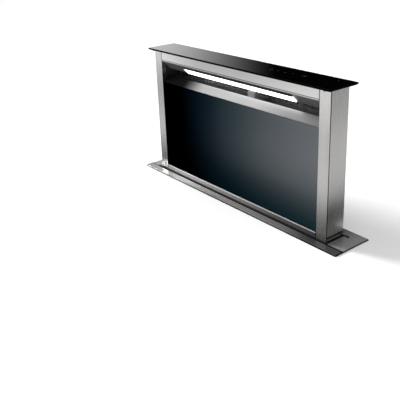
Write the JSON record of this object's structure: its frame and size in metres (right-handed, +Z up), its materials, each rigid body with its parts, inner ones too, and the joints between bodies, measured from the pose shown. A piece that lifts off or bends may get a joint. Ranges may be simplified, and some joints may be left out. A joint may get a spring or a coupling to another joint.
{
  "type": "downdraft range hood",
  "caption": "Downdraft hood: a glass-fronted steel tower with a lit intake mouth and a glass cap that rises from a slot in a steel trim plate, over a casing with belt lift and blower.",
  "frame": {"origin": "middle of the tower's slot, on the worktop's top face under the trim plate", "axes": "+Z up, along the lift; -Y is the front, towards the hob; +X to the right seen from the front"},
  "size_m": [0.88, 0.3242, 1.1937],
  "materials": {
    "stainless": "brushed, fine vertical grain",
    "polished_trim": "fine brushed, almost a mirror",
    "black_glass": "glossy black, opaque",
    "dark_sheet": "satin black paint",
    "cavity_sheet": "satin dark grey paint",
    "zinc_sheet": "galvanised",
    "zinc_screw": "zinc plated",
    "rail_steel": "bright drawn steel",
    "seal_rubber": "matt black",
    "belt_rubber": "moulded, toothed inside",
    "pulley_alloy": "turned",
    "filter_alloy": "satin anodised",
    "motor_paint": "satin",
    "light_plastic": "opal",
    "grey_plastic": "satin moulding",
    "white_nylon": "moulded",
    "black_plastic": "moulded",
    "board": "coated circuit board"
  },
  "bodies": {
    "base": {"worktop_trim": "polished_trim", "slot_seals": "seal_rubber", "casing_front": "zinc_sheet", "casing_back": "zinc_sheet", "casing_ends": "zinc_sheet", "casing_base": "zinc_sheet", "guide_rails": "rail_steel", "idler_pins": "rail_steel", "bearing_blocks": "white_nylon", "belts": "belt_rubber", "lift_gearbox": "pulley_alloy", "lift_motor": "motor_paint", "blower_box": "zinc_sheet", "blower_lid": "zinc_sheet", "scroll_housing": "zinc_sheet", "outlet_transition": "zinc_sheet", "blower_motor": "motor_paint", "outlet_collar": "zinc_sheet", "flap_pin": "rail_steel", "control_box": "grey_plastic", "control_lid": "grey_plastic", "cable_gland": "black_plastic", "clamp_brackets": "zinc_screw", "clamp_screws": "zinc_screw", "leg_studs": "zinc_screw", "leg_pads": "black_plastic", "case_screws": "zinc_screw"},
    "tower": {"stile_r": "stainless", "stile_l": "stainless", "side_walls": "stainless", "rear_wall": "stainless", "top_band": "stainless", "cavity_roof": "cavity_sheet", "light_lens": "light_plastic", "duct_cheeks": "cavity_sheet", "bottom_rail": "stainless", "foot_frame": "rail_steel", "runners": "white_nylon", "belt_clamps": "white_nylon", "cap_frame": "dark_sheet", "cap_glass": "black_glass", "touch_board": "board", "cap_bumpers": "seal_rubber", "filter_frame": "cavity_sheet", "grease_filters": "filter_alloy", "panel_catch": "grey_plastic"},
    "latch_r": {"filter_latch_r": "black_plastic"},
    "latch_l": {"filter_latch_l": "black_plastic"},
    "panel": {"panel_glass": "black_glass", "panel_tray": "dark_sheet", "panel_ledge": "polished_trim", "panel_pins": "rail_steel"},
    "drive": {"cross_shaft": "rail_steel", "drive_pulleys": "pulley_alloy"},
    "idlers": {"idler_pulleys": "pulley_alloy"},
    "fan": {"impeller": "zinc_sheet", "fan_shaft": "rail_steel"},
    "flap_f": {"flap_front": "filter_alloy"},
    "flap_b": {"flap_back": "filter_alloy"}
  },
  "joints": [
    {"name": "lift", "type": "slide", "parent": "base", "child": "tower", "axis": [0, 0, 1], "range_m": [-0.415, 0]},
    {"name": "panel_hinge", "type": "hinge", "parent": "tower", "child": "panel", "pos_m": [0, -0.025, 0.0315], "axis": [1, 0, 0], "range_deg": [0, 75]},
    {"name": "latch_slide_r", "type": "slide", "parent": "tower", "child": "latch_r", "axis": [0, 0, 1], "range_m": [-0.005, 0], "stiffness_N_per_m": 300, "springref_m": 0.002},
    {"name": "latch_slide_l", "type": "slide", "parent": "tower", "child": "latch_l", "axis": [0, 0, 1], "range_m": [-0.005, 0], "stiffness_N_per_m": 300, "springref_m": 0.002},
    {"name": "drive_turn", "type": "hinge", "parent": "base", "child": "drive", "pos_m": [0, -0.02, -0.7], "axis": [1, 0, 0], "continuous": true},
    {"name": "idler_turn", "type": "hinge", "parent": "base", "child": "idlers", "pos_m": [0, -0.02, -0.04], "axis": [1, 0, 0], "continuous": true},
    {"name": "fan_spin", "type": "hinge", "parent": "base", "child": "fan", "pos_m": [-0.04, -0.15, -0.59], "axis": [0, 1, 0], "continuous": true},
    {"name": "flap_front_swing", "type": "hinge", "parent": "base", "child": "flap_f", "pos_m": [0.21475, -0.15, -0.505], "axis": [0, 0, 1], "range_deg": [0, 75], "stiffness_Nm_per_rad": 0.02, "springref_deg": -9.74},
    {"name": "flap_back_swing", "type": "hinge", "parent": "base", "child": "flap_b", "pos_m": [0.21475, -0.15, -0.505], "axis": [0, 0, -1], "range_deg": [0, 75], "stiffness_Nm_per_rad": 0.02, "springref_deg": -9.74}
  ],
  "couplings": [
    {"joint": "drive_turn", "follows": "lift", "rad_per_m": -83.776},
    {"joint": "idler_turn", "follows": "lift", "rad_per_m": -83.776}
  ]
}
